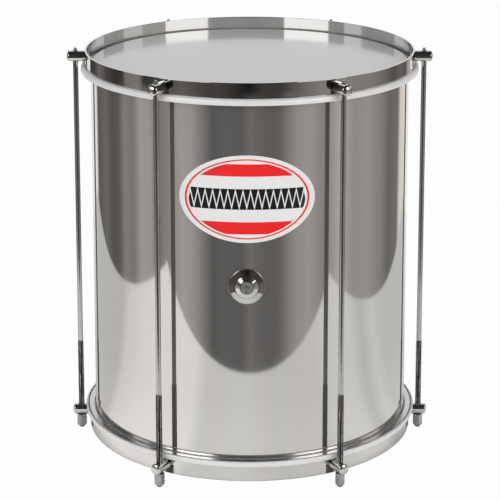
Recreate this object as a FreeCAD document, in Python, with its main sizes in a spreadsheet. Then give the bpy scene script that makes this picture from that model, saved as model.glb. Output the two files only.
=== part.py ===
import FreeCAD, Part
import math
import os
import Sketcher

# Repinique: a straight metal drum with a film head at each end.
# Millimetres, +Z up, origin on the floor under the middle of the drum, front of the drum towards -Y.
# The drum stands on the ends of its tension rods.

# Driving dimensions, each written once.
SIZES = {
    # Shell: a thin tube whose ends roll inwards into rounded bearing edges.
    "shell_radius": 127.0,
    "shell_wall": 1.0,
    "bearing_radius": 2.0,
    "bearing_lip": 2.0,
    "hoop_span": 312.8,
    # Counterhoop: a collar with a stepped-out flare that presses on the flesh hoop.
    "hoop_height": 16.8,
    "hoop_wall": 1.5,
    "collar_gap": 2.25,
    "flare_depth": 11.8,
    "flare_clearance": 0.6,
    "hoop_edge_round": 0.5,
    "flare_round": 2.9,
    "flare_lip_round": 1.2,
    # Film head and the channel that grips it.
    "head_recess": 9.8,
    "film_thickness": 0.3,
    "film_clearance": 0.35,
    "skirt_depth": 16.2,
    "channel_clearance": 0.35,
    "channel_width": 4.6,
    "channel_height": 3.2,
    "channel_wall": 1.4,
    "channel_floor": 1.2,
    "shoulder_gap": 0.1,
    # Ears: short round bars welded to the collars, each with a domed end.
    "ear_count": 6,
    "ear_reach": 7.0,
    "ear_width": 8.8,
    "ear_inset": 2.6,
    "ear_dome": 1.6,
    "ear_round": 1.0,
    # Tension rods and their nuts.
    "rod_offset": 7.85,
    "rod_shank": 4.2,
    "rod_thread": 5.0,
    "thread_length": 26.0,
    "thread_runout": 0.6,
    "thread_chamfer": 0.6,
    "rod_protrusion": 1.8,
    "rod_stub": 0.3,
    "rod_point": 2.1,
    "rod_point_width": 2.2,
    "rod_clearance": 0.3,
    "weld_clearance": 0.1,
    "nut_height": 9.4,
    "nut_flats": 7.0,
    "nut_clearance": 0.1,
    "nut_gap": 0.05,
    "nut_chamfer": 0.5,
    # Vent in the front of the shell.
    "front_turn": -1.0,
    "vent_level": 155.0,
    "vent_flange_width": 27.6,
    "vent_flange_height": 1.2,
    "vent_cone_width": 26.4,
    "vent_ring_width": 18.4,
    "vent_ring_height": 2.2,
    "vent_shelf_width": 17.6,
    "vent_mouth_width": 10.6,
    "vent_mouth_height": 3.8,
    "plug_width": 9.4,
    "plug_height": 4.1,
    "plug_clearance": 0.1,
    "plug_dish_width": 6.8,
    "plug_dish_depth": 0.4,
    "vent_stud": 12.0,
    "vent_hole_clearance": 0.2,
    "vent_round": 0.4,
    "washer_width": 20.0,
    "washer_height": 1.2,
    "washer_gap": 0.6,
    "stud_end": 1.0,
    # Badge plate bowed round the shell above the vent.
    "badge_level": 223.0,
    "badge_height": 67.8,
    "badge_width": 101.8,
    "badge_thickness": 0.45,
    "badge_gap": 0.05,
}

# Places worked out from the driving dimensions.
PLACES = {
    "skirt_inner": "Sizes.shell_radius + Sizes.film_clearance",
    "skirt_outer": "skirt_inner + Sizes.film_thickness",
    "film_bend": "skirt_inner - Sizes.bearing_radius",
    "film_under": "Sizes.head_recess + Sizes.film_thickness",
    "film_bend_level": "film_under + Sizes.bearing_radius",
    "channel_inner": "skirt_outer + Sizes.channel_clearance",
    "channel_outer": "channel_inner + Sizes.channel_width",
    "channel_slot_inner": "channel_inner + Sizes.channel_wall",
    "channel_slot_outer": "channel_outer - Sizes.channel_wall",
    "collar_inner": "skirt_outer + Sizes.collar_gap",
    "collar_outer": "collar_inner + Sizes.hoop_wall",
    "flare_inner": "channel_outer + Sizes.flare_clearance",
    "flare_outer": "flare_inner + Sizes.hoop_wall",
    "shoulder_under": "Sizes.flare_depth + Sizes.hoop_wall",
    "channel_top": "shoulder_under + Sizes.shoulder_gap",
    "channel_slot_end": "channel_top + Sizes.channel_height - Sizes.channel_floor",
    "channel_end": "channel_top + Sizes.channel_height",
    "nut_bottom": "Sizes.rod_protrusion",
    "nut_top": "nut_bottom + Sizes.nut_height",
    "bottom_ear_level": "nut_top + Sizes.nut_gap",
    "bottom_edge": "bottom_ear_level - Sizes.ear_inset",
    "top_edge": "bottom_edge + Sizes.hoop_span",
    "rod_circle": "collar_outer + Sizes.rod_offset",
    "ear_radius": "Sizes.ear_width / 2",
    "ear_tip": "rod_circle + Sizes.ear_reach",
    "ear_dome_start": "ear_tip - Sizes.ear_dome",
    "ear_dome_radius": "(ear_radius ^ 2 + Sizes.ear_dome ^ 2) / (2 * Sizes.ear_dome)",
    "ear_dome_centre": "ear_tip - ear_dome_radius",
    "ear_root": "collar_outer - Sizes.hoop_wall",
    "bottom_ear_axis": "bottom_ear_level + ear_radius",
    "top_ear_axis": "top_edge - Sizes.ear_inset - ear_radius",
    "rod_hole": "Sizes.rod_thread / 2 + Sizes.rod_clearance",
    "shank_hole": "Sizes.rod_shank / 2 + Sizes.weld_clearance",
    "nut_bore": "Sizes.rod_thread / 2 + Sizes.nut_clearance",
    "shell_bottom": "bottom_edge + film_under",
    "shell_top": "top_edge - film_under",
    "shell_inner": "Sizes.shell_radius - Sizes.shell_wall",
    "roll_centre": "Sizes.shell_radius - Sizes.bearing_radius",
    "roll_outer": "roll_centre - Sizes.bearing_radius",
    "roll_inner": "roll_outer + Sizes.shell_wall",
    "bottom_roll": "shell_bottom + Sizes.bearing_radius",
    "bottom_roll_inner": "shell_bottom + Sizes.shell_wall",
    "bottom_lip": "bottom_roll + Sizes.bearing_lip",
    "top_roll": "shell_top - Sizes.bearing_radius",
    "top_lip": "top_roll - Sizes.bearing_lip",
    "vent_height": "bottom_edge + Sizes.vent_level",
    "vent_hole": "Sizes.vent_stud / 2 + Sizes.vent_hole_clearance",
    "rod_tip": "Sizes.rod_thread / 2 - Sizes.thread_chamfer",
    "rod_thread_radius": "Sizes.rod_thread / 2",
    "rod_shank_radius": "Sizes.rod_shank / 2",
    "rod_point_radius": "Sizes.rod_point_width / 2",
    "rod_thread_end": "Sizes.thread_length",
    "rod_shank_start": "Sizes.thread_length + Sizes.thread_runout",
    "rod_point_start": "top_ear_axis + ear_radius + Sizes.rod_stub",
    "rod_top": "rod_point_start + Sizes.rod_point",
    "nut_corner": "Sizes.nut_flats / 2 / cos(30 deg)",
    "nut_face": "Sizes.nut_flats / 2",
    "nut_cutter": "Sizes.nut_flats",
    "nut_low_chamfer": "Sizes.nut_chamfer",
    "nut_high_chamfer": "Sizes.nut_height - Sizes.nut_chamfer",
    "badge_inner": "Sizes.shell_radius + Sizes.badge_gap",
    "badge_outer": "badge_inner + Sizes.badge_thickness",
    "badge_blank": "badge_outer + Sizes.badge_thickness",
    "badge_trim": "badge_blank + Sizes.badge_width / 2",
    "badge_middle": "bottom_edge + Sizes.badge_level",
    "vent_flange_radius": "Sizes.vent_flange_width / 2",
    "vent_cone_radius": "Sizes.vent_cone_width / 2",
    "vent_ring_radius": "Sizes.vent_ring_width / 2",
    "vent_shelf_radius": "Sizes.vent_shelf_width / 2",
    "vent_mouth_radius": "Sizes.vent_mouth_width / 2",
    "vent_stud_radius": "Sizes.vent_stud / 2",
    "plug_radius": "Sizes.plug_width / 2",
    "plug_dish_radius": "Sizes.plug_dish_width / 2",
    "vent_bore_radius": "plug_radius + Sizes.plug_clearance",
    "vent_flange_face": "Sizes.shell_radius + Sizes.vent_flange_height",
    "vent_ring_face": "Sizes.shell_radius + Sizes.vent_ring_height",
    "vent_mouth_face": "Sizes.shell_radius + Sizes.vent_mouth_height",
    "plug_face": "Sizes.shell_radius + Sizes.plug_height",
    "plug_dish": "plug_face - Sizes.plug_dish_depth",
    "washer_radius": "Sizes.washer_width / 2",
    "washer_outer": "shell_inner - Sizes.washer_gap",
    "washer_inner": "washer_outer - Sizes.washer_height",
    "vent_stud_end": "washer_inner - Sizes.stud_end",
}

FULL_TURN = 360.0
HALF_TURN = 180.0
FRONT = -90.0
Z_AXIS = FreeCAD.Vector(0, 0, 1)
X_AXIS = FreeCAD.Vector(1, 0, 0)
ORIGIN_POINT = (-1, 1)
START, END, CENTRE = 1, 2, 3
ACROSS_AXIS, UP_AXIS = -1, -2
HEX_SIDES = 6
LEVEL_TOLERANCE = 1e-4

doc = FreeCAD.newDocument("repinique")


def fill_sheet(name, cells, mark=""):
    """A sheet with one alias and its content on each row."""
    made = doc.addObject("Spreadsheet::Sheet", name)
    for row, (alias, content) in enumerate(cells.items(), start=1):
        made.set(f"A{row}", alias)
        made.set(f"B{row}", f"{mark}{content}")
        made.setAlias(f"B{row}", alias)
    return made


sizes = fill_sheet("Sizes", SIZES)
places = fill_sheet("Places", PLACES, "=")
doc.recompute()


def ref(alias):
    """The name of a sheet's cell as an expression reads it."""
    return f"Sizes.{alias}" if alias in SIZES else f"Places.{alias}"


def value(alias):
    """The number in a sheet's cell."""
    sheet = sizes if alias in SIZES else places
    return float(sheet.get(alias))


def new_body(label):
    """An empty body whose label names the piece."""
    body = doc.addObject("PartDesign::Body", label)
    body.Label = label
    return body


def new_sketch(body, role="XZ_Plane", level=None):
    """A sketch on one of the body's origin planes, raised by a sheet value if one is named."""
    sketch = body.newObject("Sketcher::SketchObject", f"{body.Label}_sketch")
    plane = next(part for part in body.Origin.OriginFeatures if part.Role == role)
    sketch.AttachmentSupport = [(plane, "")]
    sketch.MapMode = "FlatFace"
    if level:
        sketch.setExpression("AttachmentOffset.Base.z", ref(level))
    return sketch


def hold(sketch, kind, geometry, point, alias):
    """Ties one coordinate of a sketch point to a sheet value; None ties it to the axis."""
    if alias is None:
        axis = UP_AXIS if kind == "DistanceX" else ACROSS_AXIS
        sketch.addConstraint(Sketcher.Constraint("PointOnObject", geometry, point, axis))
        return
    size = Sketcher.Constraint(kind, *ORIGIN_POINT, geometry, point, value(alias))
    index = sketch.addConstraint(size)
    sketch.setExpression(f"Constraints[{index}]", ref(alias))


def point_at(corner):
    """A sketch point from a pair of sheet names."""
    across, up = (0.0 if alias is None else value(alias) for alias in corner)
    return FreeCAD.Vector(across, up, 0)


def draw_outline(sketch, corners, arcs=None):
    """A closed outline through corners, pairs of sheet names across and up the sketch.

    arcs gives, by the number of the corner where it starts, an arc's centre as a pair of sheet
    names, and whether the arc runs counterclockwise.
    """
    arcs = arcs or {}
    first = sketch.GeometryCount
    ends = []
    for number, corner in enumerate(corners):
        begin = point_at(corner)
        finish = point_at(corners[(number + 1) % len(corners)])
        if number not in arcs:
            sketch.addGeometry(Part.LineSegment(begin, finish))
            ends.append((START, END))
            continue
        centre_names, counterclockwise = arcs[number]
        centre = point_at(centre_names)
        low, high = (begin, finish) if counterclockwise else (finish, begin)
        low_angle, high_angle = (math.atan2(p.y - centre.y, p.x - centre.x) for p in (low, high))
        circle = Part.Circle(centre, Z_AXIS, (begin - centre).Length)
        sketch.addGeometry(Part.ArcOfCircle(circle, low_angle, high_angle))
        ends.append((START, END) if counterclockwise else (END, START))
    for number, corner in enumerate(corners):
        following = (number + 1) % len(corners)
        joint = Sketcher.Constraint("Coincident", first + number, ends[number][1],
                                    first + following, ends[following][0])
        sketch.addConstraint(joint)
        hold(sketch, "DistanceX", first + number, ends[number][0], corner[0])
        hold(sketch, "DistanceY", first + number, ends[number][0], corner[1])
    for number, (centre_names, _) in arcs.items():
        flat = corners[number][1] == corners[(number + 1) % len(corners)][1]
        kind = "DistanceY" if flat else "DistanceX"
        hold(sketch, kind, first + number, CENTRE, centre_names[1] if flat else centre_names[0])
    return sketch


def draw_circle(sketch, radius, centre=None):
    """A circle at the sketch's origin, or out along its first axis by a sheet value."""
    middle = FreeCAD.Vector(value(centre) if centre else 0.0, 0, 0)
    index = sketch.addGeometry(Part.Circle(middle, Z_AXIS, value(radius)))
    if centre:
        hold(sketch, "DistanceX", index, CENTRE, centre)
        hold(sketch, "DistanceY", index, CENTRE, None)
    else:
        sketch.addConstraint(Sketcher.Constraint("Coincident", index, CENTRE, *ORIGIN_POINT))
    size = sketch.addConstraint(Sketcher.Constraint("Radius", index, value(radius)))
    sketch.setExpression(f"Constraints[{size}]", ref(radius))
    return sketch


def turn(body, sketch, kind="PartDesign::Revolution", axis="V_Axis"):
    """The sketch turned a full circle about its upright axis, or about another one of its axes."""
    feature = body.newObject(kind, f"{body.Label}_turned")
    feature.Profile = sketch
    feature.ReferenceAxis = (sketch, [axis])
    feature.Angle = FULL_TURN
    return feature


def pad(body, sketch, height):
    """The sketch raised by a sheet value."""
    feature = body.newObject("PartDesign::Pad", f"{body.Label}_pad")
    feature.Profile = sketch
    feature.Length = value(height)
    feature.setExpression("Length", ref(height))
    return feature


def cut_through(body, sketch, both_ways=True, backwards=False):
    """The sketch cut right through the piece."""
    feature = body.newObject("PartDesign::Pocket", f"{body.Label}_cut")
    feature.Profile = sketch
    feature.Type = "ThroughAll"
    feature.SideType = "Symmetric" if both_ways else "One side"
    feature.Reversed = backwards
    return feature


def round_edges(body, radius, wanted):
    """A fillet on every edge of the body so far that the test picks out."""
    doc.recompute()
    last = body.Tip
    picked = [f"Edge{number}" for number, edge in enumerate(last.Shape.Edges, start=1) if wanted(edge)]
    feature = body.newObject("PartDesign::Fillet", f"{body.Label}_rounded")
    feature.Base = (last, picked)
    feature.Radius = value(radius)
    feature.setExpression("Radius", ref(radius))
    return feature


def is_ring(edge, places_wanted):
    """Whether an edge is a circle at one of the wanted pairs of radius and level."""
    if not isinstance(edge.Curve, Part.Circle):
        return False
    radius, level = edge.Curve.Radius, edge.Curve.Center.z
    return any(abs(radius - value(r)) < LEVEL_TOLERANCE
               and abs(level - (value(z) if z else 0.0)) < LEVEL_TOLERANCE
               for r, z in places_wanted)


def set_level(body, level, flipped=False):
    """Puts a piece of one end at its level; the top end is the bottom end turned over."""
    if flipped:
        body.Placement = FreeCAD.Placement(FreeCAD.Vector(), FreeCAD.Rotation(X_AXIS, HALF_TURN))
    body.setExpression("Placement.Base.z", ref(level))


def set_round(body, index, radius, level):
    """Puts a piece at one of the evenly spaced places round the drum."""
    angle = index * FULL_TURN / value("ear_count")
    body.Placement = FreeCAD.Placement(FreeCAD.Vector(), FreeCAD.Rotation(Z_AXIS, angle))
    if radius:
        body.setExpression("Placement.Base.x", f"{ref(radius)} * cos({angle} deg)")
        body.setExpression("Placement.Base.y", f"{ref(radius)} * sin({angle} deg)")
    if level:
        body.setExpression("Placement.Base.z", ref(level))


def turn_to_front(body):
    """Turns a piece that was made on the +X side to the front of the drum."""
    body.setExpression("Placement.Rotation.Angle", f"{FRONT} deg + Sizes.front_turn * 1 deg")
    body.Placement = FreeCAD.Placement(
        FreeCAD.Vector(), FreeCAD.Rotation(Z_AXIS, FRONT + value("front_turn")))


# Shell

def make_shell():
    """The tube with rolled bearing edges and the vent's hole, made with the vent towards +X."""
    body = new_body("shell")
    sketch = draw_outline(
        new_sketch(body),
        [
            ("shell_radius", "bottom_roll"),
            ("shell_radius", "top_roll"),
            ("roll_outer", "top_roll"),
            ("roll_outer", "top_lip"),
            ("roll_inner", "top_lip"),
            ("roll_inner", "top_roll"),
            ("shell_inner", "top_roll"),
            ("shell_inner", "bottom_roll"),
            ("roll_inner", "bottom_roll"),
            ("roll_inner", "bottom_lip"),
            ("roll_outer", "bottom_lip"),
            ("roll_outer", "bottom_roll"),
        ],
        {
            1: (("roll_centre", "top_roll"), True),
            5: (("roll_centre", "top_roll"), False),
            7: (("roll_centre", "bottom_roll"), False),
            11: (("roll_centre", "bottom_roll"), True),
        })
    turn(body, sketch)
    hole = new_sketch(body, "YZ_Plane")
    index = hole.addGeometry(Part.Circle(FreeCAD.Vector(0, value("vent_height"), 0), Z_AXIS,
                                         value("vent_hole")))
    hold(hole, "DistanceX", index, CENTRE, None)
    hold(hole, "DistanceY", index, CENTRE, "vent_height")
    size = hole.addConstraint(Sketcher.Constraint("Radius", index, value("vent_hole")))
    hole.setExpression(f"Constraints[{size}]", ref("vent_hole"))
    cut_through(body, hole, both_ways=False, backwards=True)
    turn_to_front(body)
    return body


# Counterhoops, flesh hoops and heads; their heights are depths below the hoop's outer edge

def make_counterhoop(label, level, flipped):
    """A collar with a shoulder and a stepped-out flare."""
    body = new_body(label)
    sketch = draw_outline(
        new_sketch(body),
        [
            ("collar_inner", None),
            ("collar_outer", None),
            ("collar_outer", "flare_depth"),
            ("flare_outer", "flare_depth"),
            ("flare_outer", "hoop_height"),
            ("flare_inner", "hoop_height"),
            ("flare_inner", "shoulder_under"),
            ("collar_inner", "shoulder_under"),
        ])
    turn(body, sketch)
    rims = [("collar_inner", None), ("collar_outer", None)]
    round_edges(body, "hoop_edge_round", lambda edge: is_ring(edge, rims))
    lip = [("flare_outer", "hoop_height")]
    round_edges(body, "flare_lip_round", lambda edge: is_ring(edge, lip))
    shoulder = [("flare_outer", "flare_depth")]
    round_edges(body, "flare_round", lambda edge: is_ring(edge, shoulder))
    set_level(body, level, flipped)
    return body


def make_flesh_hoop(label, level, flipped):
    """The channel ring that grips the film's skirt."""
    body = new_body(label)
    sketch = draw_outline(
        new_sketch(body),
        [
            ("channel_inner", "channel_top"),
            ("channel_slot_inner", "channel_top"),
            ("channel_slot_inner", "channel_slot_end"),
            ("channel_slot_outer", "channel_slot_end"),
            ("channel_slot_outer", "channel_top"),
            ("channel_outer", "channel_top"),
            ("channel_outer", "channel_end"),
            ("channel_inner", "channel_end"),
        ])
    turn(body, sketch)
    set_level(body, level, flipped)
    return body


def make_head(label, level, flipped):
    """The film, flat over the bearing edge and bent down into a skirt round the shell."""
    body = new_body(label)
    sketch = draw_outline(
        new_sketch(body),
        [
            (None, "head_recess"),
            ("film_bend", "head_recess"),
            ("skirt_outer", "film_bend_level"),
            ("skirt_outer", "skirt_depth"),
            ("skirt_inner", "skirt_depth"),
            ("skirt_inner", "film_bend_level"),
            ("film_bend", "film_under"),
            (None, "film_under"),
        ],
        {
            1: (("film_bend", "film_bend_level"), True),
            5: (("film_bend", "film_bend_level"), False),
        })
    turn(body, sketch)
    set_level(body, level, flipped)
    return body


# Ears

def make_ear(label, index, level, hole):
    """A round bar with a domed end, hollowed to the collar and drilled for the rod."""
    body = new_body(label)
    sketch = draw_outline(
        new_sketch(body),
        [
            ("ear_root", None),
            ("ear_tip", None),
            ("ear_dome_start", "ear_radius"),
            ("ear_root", "ear_radius"),
        ],
        {1: (("ear_dome_centre", None), True)})
    turn(body, sketch, axis="H_Axis")

    def on_rim(edge):
        """Whether an edge is the circle where the dome starts."""
        box = edge.BoundBox
        upright = box.XLength < LEVEL_TOLERANCE
        return upright and abs(box.XMin - value("ear_dome_start")) < LEVEL_TOLERANCE

    round_edges(body, "ear_round", on_rim)
    cut_through(body, draw_circle(new_sketch(body, "XY_Plane"), "collar_outer"))
    cut_through(body, draw_circle(new_sketch(body, "XY_Plane"), hole, "rod_circle"))
    set_round(body, index, None, level)
    return body


# Tension rods and nuts

def make_rod(label, index):
    """A round rod: chamfered end, thread at its full diameter, plain shank and blunt point."""
    body = new_body(label)
    sketch = draw_outline(
        new_sketch(body),
        [
            (None, None),
            ("rod_tip", None),
            ("rod_thread_radius", "thread_chamfer"),
            ("rod_thread_radius", "rod_thread_end"),
            ("rod_shank_radius", "rod_shank_start"),
            ("rod_shank_radius", "rod_point_start"),
            ("rod_point_radius", "rod_top"),
            (None, "rod_top"),
        ])
    turn(body, sketch)
    set_round(body, index, "rod_circle", None)
    return body


def make_nut(label, index):
    """A long hexagon nut with a plain bore and cut corners at both ends."""
    body = new_body(label)
    sketch = new_sketch(body, "XY_Plane")
    corner = value("nut_corner")
    step = FULL_TURN / HEX_SIDES
    corners = [FreeCAD.Vector(corner * math.cos(math.radians(step * side)),
                              corner * math.sin(math.radians(step * side)), 0)
               for side in range(HEX_SIDES)]
    for side in range(HEX_SIDES):
        sketch.addGeometry(Part.LineSegment(corners[side], corners[(side + 1) % HEX_SIDES]))
    guide = sketch.addGeometry(Part.Circle(FreeCAD.Vector(), Z_AXIS, corner), True)
    sketch.addConstraint(Sketcher.Constraint("Coincident", guide, CENTRE, *ORIGIN_POINT))
    size = sketch.addConstraint(Sketcher.Constraint("Radius", guide, corner))
    sketch.setExpression(f"Constraints[{size}]", ref("nut_corner"))
    for side in range(HEX_SIDES):
        following = (side + 1) % HEX_SIDES
        sketch.addConstraint(Sketcher.Constraint("Coincident", side, END, following, START))
        sketch.addConstraint(Sketcher.Constraint("PointOnObject", side, START, guide))
        if side:
            sketch.addConstraint(Sketcher.Constraint("Equal", 0, side))
    sketch.addConstraint(Sketcher.Constraint("PointOnObject", 0, START, ACROSS_AXIS))
    pad(body, sketch, "nut_height")
    for low, high, across in (("nut_low_chamfer", None, None),
                              ("nut_high_chamfer", "nut_height", "nut_height")):
        cutter = draw_outline(new_sketch(body), [
            ("nut_corner", low), ("nut_face", high), ("nut_cutter", across), ("nut_cutter", low)])
        turn(body, cutter, "PartDesign::Groove")
    cut_through(body, draw_circle(new_sketch(body, "XY_Plane"), "nut_bore"))
    set_round(body, index, "rod_circle", "nut_bottom")
    return body


# Vent and badge

def lay_on_front(body):
    """Lays a piece turned about its own upright axis so that this axis points out of the front."""
    tilt = FreeCAD.Rotation(FreeCAD.Vector(0, 1, 0), -FRONT)
    spin = FreeCAD.Rotation(Z_AXIS, FRONT + value("front_turn"))
    body.Placement = FreeCAD.Placement(FreeCAD.Vector(), spin.multiply(tilt))
    body.setExpression("Placement.Base.z", ref("vent_height"))


def make_vent():
    """Two stepped cones on a flange, and a hollow stud that goes through the shell."""
    body = new_body("vent_grommet")
    rings = draw_outline(
        new_sketch(body),
        [
            ("vent_bore_radius", "shell_inner"),
            ("vent_flange_radius", "shell_inner"),
            ("vent_flange_radius", "vent_flange_face"),
            ("vent_cone_radius", "vent_flange_face"),
            ("vent_ring_radius", "vent_ring_face"),
            ("vent_shelf_radius", "vent_ring_face"),
            ("vent_mouth_radius", "vent_mouth_face"),
            ("vent_bore_radius", "vent_mouth_face"),
        ])
    turn(body, rings)
    rims = [("vent_flange_radius", "vent_flange_face"), ("vent_ring_radius", "vent_ring_face")]
    round_edges(body, "vent_round", lambda edge: is_ring(edge, rims))
    cut_through(body, draw_circle(new_sketch(body, "YZ_Plane"), "shell_radius"))
    stud = draw_outline(
        new_sketch(body),
        [
            ("vent_bore_radius", "vent_stud_end"),
            ("vent_stud_radius", "vent_stud_end"),
            ("vent_stud_radius", "vent_flange_face"),
            ("vent_bore_radius", "vent_flange_face"),
        ])
    turn(body, stud)
    lay_on_front(body)
    return body


def make_plug():
    """The dished plug in the middle of the vent."""
    body = new_body("vent_plug")
    sketch = draw_outline(
        new_sketch(body),
        [
            (None, "vent_stud_end"),
            ("plug_radius", "vent_stud_end"),
            ("plug_radius", "plug_face"),
            ("plug_dish_radius", "plug_face"),
            ("plug_dish_radius", "plug_dish"),
            (None, "plug_dish"),
        ])
    turn(body, sketch)
    lay_on_front(body)
    return body


def make_washer():
    """The ring on the stud's end inside the shell."""
    body = new_body("vent_backing_washer")
    sketch = draw_outline(
        new_sketch(body),
        [
            ("vent_hole", "washer_inner"),
            ("washer_radius", "washer_inner"),
            ("washer_radius", "washer_outer"),
            ("vent_hole", "washer_outer"),
        ])
    turn(body, sketch)
    lay_on_front(body)
    return body


def draw_oval(sketch, width, height, level):
    """An upright oval centred on the sketch's second axis."""
    middle = value(level)
    reach, rise = value(width) / 2, value(height) / 2
    oval = Part.Ellipse(FreeCAD.Vector(reach, middle, 0), FreeCAD.Vector(0, middle + rise, 0),
                        FreeCAD.Vector(0, middle, 0))
    index = sketch.addGeometry(oval)
    sketch.exposeInternalGeometry(index)
    long_axis, short_axis = index + 1, index + 2
    hold(sketch, "DistanceX", index, CENTRE, None)
    hold(sketch, "DistanceY", index, CENTRE, level)
    sketch.addConstraint(Sketcher.Constraint("Horizontal", long_axis))
    for axis, size in ((long_axis, width), (short_axis, height)):
        length = sketch.addConstraint(Sketcher.Constraint("Distance", axis, value(size)))
        sketch.setExpression(f"Constraints[{length}]", ref(size))
    return sketch


def make_badge():
    """A thin oval plate bowed to the shell, made towards +X."""
    body = new_body("badge")
    outline = draw_oval(new_sketch(body, "YZ_Plane"), "badge_width", "badge_height", "badge_middle")
    pad(body, outline, "badge_blank")
    cut_through(body, draw_circle(new_sketch(body, "XY_Plane"), "badge_inner"))
    trim = draw_outline(
        new_sketch(body),
        [
            ("badge_outer", None),
            ("badge_trim", None),
            ("badge_trim", "top_edge"),
            ("badge_outer", "top_edge"),
        ])
    turn(body, trim, "PartDesign::Groove")
    turn_to_front(body)
    return body


def make_all():
    """Every piece of the drum, bottom end first."""
    count = int(value("ear_count"))
    pieces = [make_shell()]
    for end, level, ear_level, flipped, hole in (
            ("bottom", "bottom_edge", "bottom_ear_axis", False, "rod_hole"),
            ("top", "top_edge", "top_ear_axis", True, "shank_hole")):
        pieces.append(make_counterhoop(f"{end}_counterhoop", level, flipped))
        pieces.append(make_flesh_hoop(f"{end}_flesh_hoop", level, flipped))
        pieces.append(make_head(f"{end}_head", level, flipped))
        for index in range(count):
            pieces.append(make_ear(f"{end}_ear_{index + 1}", index, ear_level, hole))
    for index in range(count):
        pieces.append(make_rod(f"tension_rod_{index + 1}", index))
        pieces.append(make_nut(f"tuning_nut_{index + 1}", index))
    pieces += [make_vent(), make_plug(), make_washer(), make_badge()]
    return pieces


def export(pieces):
    """Checks the whole document, then writes each piece to its own file."""
    doc.recompute()
    for thing in doc.Objects:
        if "Invalid" in thing.State or "Error" in thing.State:
            raise RuntimeError(f"{thing.Label} failed: {thing.State}")
    for piece in pieces:
        if piece.Shape.isNull() or not piece.Shape.isValid() or len(piece.Shape.Solids) != 1:
            raise RuntimeError(f"{piece.Label} is not one valid solid")
    os.makedirs("parts", exist_ok=True)
    for piece in pieces:
        piece.Shape.exportStep(f"parts/{piece.Label}.step")


export(make_all())
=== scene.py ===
"""Looks of a repinique: a straight metal drum with a film head at each end.

Metres, +Z up, the drum's front towards -Y, the ends of its tension rods on the table at z = 0.
Every rigid piece is drawn again as a smooth surface over its solid, from sizes read off the frame.
"""

import logging
import math
from dataclasses import dataclass, field
from enum import Enum

import bpy
import numpy as np
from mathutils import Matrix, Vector


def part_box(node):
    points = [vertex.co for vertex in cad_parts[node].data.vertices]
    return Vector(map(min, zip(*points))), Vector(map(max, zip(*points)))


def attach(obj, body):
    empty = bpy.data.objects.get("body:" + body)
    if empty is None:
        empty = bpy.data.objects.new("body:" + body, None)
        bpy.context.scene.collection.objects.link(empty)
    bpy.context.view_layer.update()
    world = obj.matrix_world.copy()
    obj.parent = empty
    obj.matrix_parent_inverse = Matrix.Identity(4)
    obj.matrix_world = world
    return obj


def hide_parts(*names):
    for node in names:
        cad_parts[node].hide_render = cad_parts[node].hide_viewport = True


logging.basicConfig(level=logging.INFO, format="%(message)s")
LOG = logging.getLogger("repinique")

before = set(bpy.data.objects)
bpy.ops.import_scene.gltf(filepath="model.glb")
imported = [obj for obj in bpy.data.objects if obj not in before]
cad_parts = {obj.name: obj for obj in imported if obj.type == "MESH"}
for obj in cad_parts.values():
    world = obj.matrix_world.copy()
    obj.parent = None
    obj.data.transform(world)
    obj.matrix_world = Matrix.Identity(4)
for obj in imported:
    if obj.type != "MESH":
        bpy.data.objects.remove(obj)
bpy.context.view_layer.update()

FULL_TURN = 2 * math.pi
RIGHT_ANGLE = math.pi / 2
RODS = 6
WHITE = (1.0, 1.0, 1.0, 1.0)

# How far along a side its extra points lie, as a share of its length.
SIDE_SHARE = 0.04
# Points closer than this many metres are one point.
SAME_POINT = 1e-7
# The height, in metres, that keeps the two faces of a thin plate apart at its rim.
SKIN = 1e-6


class Body(Enum):
    """The bodies that a piece can ride on."""

    DRUM = "drum_shell"
    TOP = "top_hoop"
    BOTTOM = "bottom_hoop"


class End(Enum):
    """The two ends of the drum."""

    TOP = "top"
    BOTTOM = "bottom"

    @property
    def body(self) -> Body:
        """The body of this end's hoop."""
        return Body.TOP if self is End.TOP else Body.BOTTOM


# Surfaces


def ease(corners: np.ndarray, radii: np.ndarray, steps: int = 7, closed: bool = True) -> np.ndarray:
    """Rounds the corners of an outline.

    Each corner p becomes (1-u)(1-u) a + 2u(1-u) p + u u b for u from 0 to 1, where a and b lie
    on the two sides that meet there. Each side gets two more points near its ends, so that the
    rounding's shading stays off the flat.

    Args:
        corners: The outline's corners, one row each.
        radii: How far from each corner the rounding starts; 0 keeps it sharp. Two that don't
            fit on one side share it.
        steps: How many points each rounded corner gets.
        closed: Whether the last corner joins the first.

    Returns:
        The rounded outline, with repeated points dropped.
    """
    corners = np.asarray(corners, float)
    radii = np.asarray(radii, float)[:, None]

    def towards(step: int) -> np.ndarray:
        """Points on the sides towards the neighbouring corners."""
        side = np.roll(corners, step, 0) - corners
        length = np.maximum(np.linalg.norm(side, axis=1, keepdims=True), 1e-12)
        room = np.maximum(length / 2, length - np.roll(radii, step, 0))
        return corners + side / length * np.minimum(radii, room)

    start, end = towards(1), towards(-1)
    u = np.linspace(0, 1, steps)[None, :, None]
    middle = 2 * u * (1 - u) * corners[:, None]
    curve = (1 - u) ** 2 * start[:, None] + middle + u ** 2 * end[:, None]
    share = np.array([SIDE_SHARE, 1 - SIDE_SHARE])[None, :, None]
    side = end[:, None] * (1 - share) + np.roll(start, -1, 0)[:, None] * share
    points = np.concatenate([curve, side], 1).reshape(-1, corners.shape[1])
    if not closed:
        points = points[:-2]
    gap = np.linalg.norm(points - np.roll(points, 1, 0), axis=1)
    return points[gap > SAME_POINT]


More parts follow.
